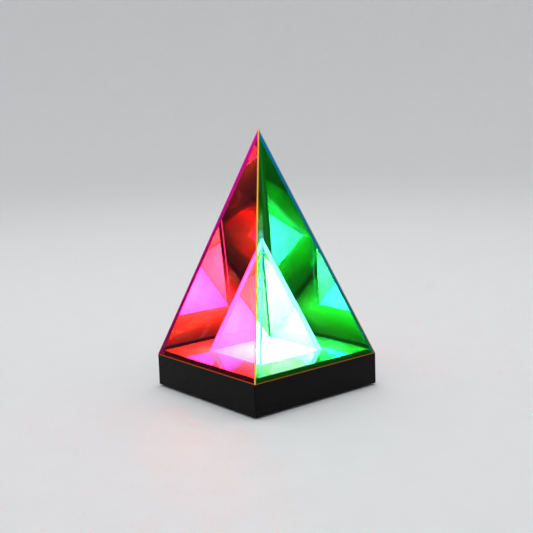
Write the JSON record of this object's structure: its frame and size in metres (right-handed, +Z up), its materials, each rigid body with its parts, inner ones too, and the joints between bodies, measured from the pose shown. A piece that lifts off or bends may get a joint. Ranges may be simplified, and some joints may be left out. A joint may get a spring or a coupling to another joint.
{
  "type": "pyramid prism table lamp",
  "caption": "Pyramid-shaped LED table lamp: colour-film acrylic shade over a smaller one, mirror floor, black square base with push button and power socket.",
  "frame": {"origin": "centre of the square base, on the plane of the feet", "axes": "+Z up along the pyramid's axis, towards the apex; -Y is the front face; +Y is the rear face, with the button and the power socket; +X is the right side seen from the front"},
  "size_m": [0.12, 0.12, 0.1983],
  "materials": {
    "film_green": "2 mm acrylic sheet with a two-tone colour film on its outer face: green to turquoise when lit from inside, a red mirror on the inside, polished",
    "film_red": "2 mm acrylic sheet with a two-tone colour film on its outer face: red to magenta when lit from inside, a green mirror on the inside, polished",
    "inner_film_green": "2 mm acrylic sheet with a light colour film, nearly white to mint when lit, polished",
    "inner_film_red": "2 mm acrylic sheet with a light colour film, pink to magenta when lit, polished",
    "edge_bead": "clear adhesive bead that glows amber with the light it pipes",
    "inner_edge_bead": "clear adhesive bead that glows pale mint",
    "shell_black": "satin black moulding, very fine texture",
    "button_black": "satin black, slightly polished by touch",
    "mirror": "front-silvered acrylic mirror sheet",
    "opal": "opal acrylic, satin, lit from below",
    "white_plastic": "white moulding",
    "board_white": "white solder mask on glass-epoxy board",
    "board_green": "green solder mask on glass-epoxy board",
    "led_package": "white package with a yellow phosphor window",
    "chip_black": "black moulded component body",
    "can_aluminium": "drawn can, satin",
    "socket_steel": "drawn and plated steel can",
    "screw_steel": "zinc-plated machine screw",
    "wire_red": "PVC insulation",
    "wire_black": "PVC insulation",
    "foot_rubber": "moulded, matt"
  },
  "bodies": {
    "base": {"base_housing": "shell_black", "bottom_cover": "shell_black", "foot_front_left": "foot_rubber", "cover_screw_front_left": "screw_steel", "foot_front_right": "foot_rubber", "cover_screw_front_right": "screw_steel", "foot_back_right": "foot_rubber", "cover_screw_back_right": "screw_steel", "foot_back_left": "foot_rubber", "cover_screw_back_left": "screw_steel", "mirror_plate": "mirror", "diffuser": "opal", "light_well": "white_plastic", "led_board": "board_white", "led_1": "led_package", "led_2": "led_package", "led_3": "led_package", "led_4": "led_package", "led_5": "led_package", "led_6": "led_package", "led_7": "led_package", "led_8": "led_package", "led_9": "led_package", "led_screw_front_left": "screw_steel", "led_screw_front_right": "screw_steel", "led_screw_back_right": "screw_steel", "led_screw_back_left": "screw_steel", "control_board": "board_green", "control_screw_left": "screw_steel", "control_screw_right": "screw_steel", "power_socket_shell": "socket_steel", "power_socket_tongue": "chip_black", "switch_body": "chip_black", "driver_chip": "chip_black", "inductor": "chip_black", "wire_header": "white_plastic", "capacitor": "can_aluminium", "wire_red": "wire_red", "wire_black": "wire_black"},
    "outer_shade": {"outer_panel_front": "film_green", "outer_panel_right": "film_red", "outer_panel_back": "film_green", "outer_panel_left": "film_red", "outer_bead_front_left": "edge_bead", "outer_bead_front_right": "edge_bead", "outer_bead_back_right": "edge_bead", "outer_bead_back_left": "edge_bead"},
    "inner_shade": {"inner_panel_front": "inner_film_green", "inner_panel_right": "inner_film_red", "inner_panel_back": "inner_film_green", "inner_panel_left": "inner_film_red", "inner_bead_front_left": "inner_edge_bead", "inner_bead_front_right": "inner_edge_bead", "inner_bead_back_right": "inner_edge_bead", "inner_bead_back_left": "inner_edge_bead"},
    "button": {"power_button": "button_black", "switch_plunger": "white_plastic"}
  },
  "joints": [
    {"name": "outer_shade_lift", "type": "slide", "parent": "base", "child": "outer_shade", "axis": [0, 0, 1], "range_m": [0, 0.1]},
    {"name": "inner_shade_lift", "type": "slide", "parent": "base", "child": "inner_shade", "axis": [0, 0, 1], "range_m": [0, 0.06]},
    {"name": "button_press", "type": "slide", "parent": "base", "child": "button", "axis": [0, -1, 0], "range_m": [0, 0.0015], "stiffness_N_per_m": 600, "springref_m": -0.0005}
  ]
}
